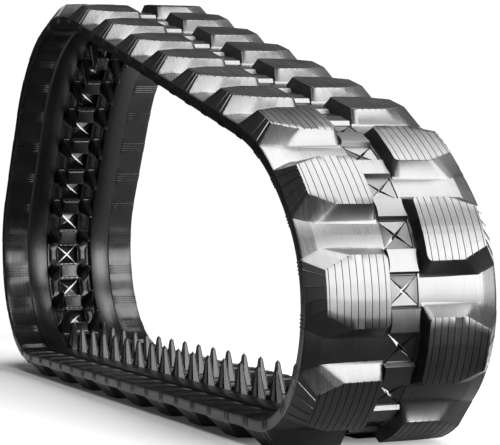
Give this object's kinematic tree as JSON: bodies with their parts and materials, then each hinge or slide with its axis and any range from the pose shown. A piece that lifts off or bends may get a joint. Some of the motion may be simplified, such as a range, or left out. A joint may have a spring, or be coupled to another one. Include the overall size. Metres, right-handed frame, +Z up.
{
  "type": "rubber track",
  "caption": "Endless rubber crawler track with steel cores, cord bands, staggered tread lugs, drive windows and two rows of guide horns, hinged to lean as a loop.",
  "frame": {"origin": "on the ground, below the middle of the loop's length and of the belt's width", "axes": "+X along the lower run towards the loop's low rounded end, +Y across the belt, +Z up"},
  "size_m": [1.9486, 0.32, 0.8221],
  "materials": {
    "belt_rubber": "black moulded rubber, satin",
    "lug_rubber": "black moulded tread rubber, satin",
    "web_rubber": "thin black rubber, satin",
    "core_steel": "forged steel, rough",
    "cord_steel": "brass-plated steel cord",
    "ply_fabric": "rubberised woven ply"
  },
  "bodies": {
    "bottom_run": {"cores_bottom": "core_steel", "near_cord_bottom": "cord_steel", "far_cord_bottom": "cord_steel", "fabric_ply_bottom": "ply_fabric", "near_inner_rubber_bottom": "belt_rubber", "far_inner_rubber_bottom": "belt_rubber", "bar_covers_bottom": "belt_rubber", "outer_rubber_bottom": "belt_rubber", "near_lugs_bottom": "lug_rubber", "far_lugs_bottom": "lug_rubber", "near_horns_bottom": "belt_rubber", "far_horns_bottom": "belt_rubber", "window_webs_bottom": "web_rubber", "center_pads_bottom": "lug_rubber"},
    "left_bend": {"cores_left": "core_steel", "near_cord_left": "cord_steel", "far_cord_left": "cord_steel", "fabric_ply_left": "ply_fabric", "near_inner_rubber_left": "belt_rubber", "far_inner_rubber_left": "belt_rubber", "bar_covers_left": "belt_rubber", "outer_rubber_left": "belt_rubber", "near_lugs_left": "lug_rubber", "far_lugs_left": "lug_rubber", "near_horns_left": "belt_rubber", "far_horns_left": "belt_rubber", "window_webs_left": "web_rubber", "center_pads_left": "lug_rubber"},
    "top_run": {"cores_top": "core_steel", "near_cord_top": "cord_steel", "far_cord_top": "cord_steel", "fabric_ply_top": "ply_fabric", "near_inner_rubber_top": "belt_rubber", "far_inner_rubber_top": "belt_rubber", "bar_covers_top": "belt_rubber", "outer_rubber_top": "belt_rubber", "near_lugs_top": "lug_rubber", "far_lugs_top": "lug_rubber", "near_horns_top": "belt_rubber", "far_horns_top": "belt_rubber", "window_webs_top": "web_rubber", "center_pads_top": "lug_rubber"},
    "right_bend": {"cores_right": "core_steel", "near_cord_right": "cord_steel", "far_cord_right": "cord_steel", "fabric_ply_right": "ply_fabric", "near_inner_rubber_right": "belt_rubber", "far_inner_rubber_right": "belt_rubber", "bar_covers_right": "belt_rubber", "outer_rubber_right": "belt_rubber", "near_lugs_right": "lug_rubber", "far_lugs_right": "lug_rubber", "near_horns_right": "belt_rubber", "far_horns_right": "belt_rubber", "window_webs_right": "web_rubber", "center_pads_right": "lug_rubber"}
  },
  "joints": [
    {"name": "near_lower_flex", "type": "hinge", "parent": "bottom_run", "child": "right_bend", "pos_m": [0.88669, 0, 0.097], "axis": [0, 1, 0], "range_deg": [-6, 6], "stiffness_Nm_per_rad": 1200, "springref_deg": 3.44},
    {"name": "near_upper_flex", "type": "hinge", "parent": "right_bend", "child": "top_run", "pos_m": [0.7222, 0, 0.49844], "axis": [0, 1, 0], "range_deg": [-6, 6]},
    {"name": "far_upper_flex", "type": "hinge", "parent": "top_run", "child": "left_bend", "pos_m": [-0.88912, 0, 0.42622], "axis": [0, 1, 0], "range_deg": [-6, 6]}
  ],
  "couplings": [
    {"joint": "near_upper_flex", "follows": "near_lower_flex", "ratio": -1},
    {"joint": "far_upper_flex", "follows": "near_lower_flex", "ratio": 1}
  ]
}
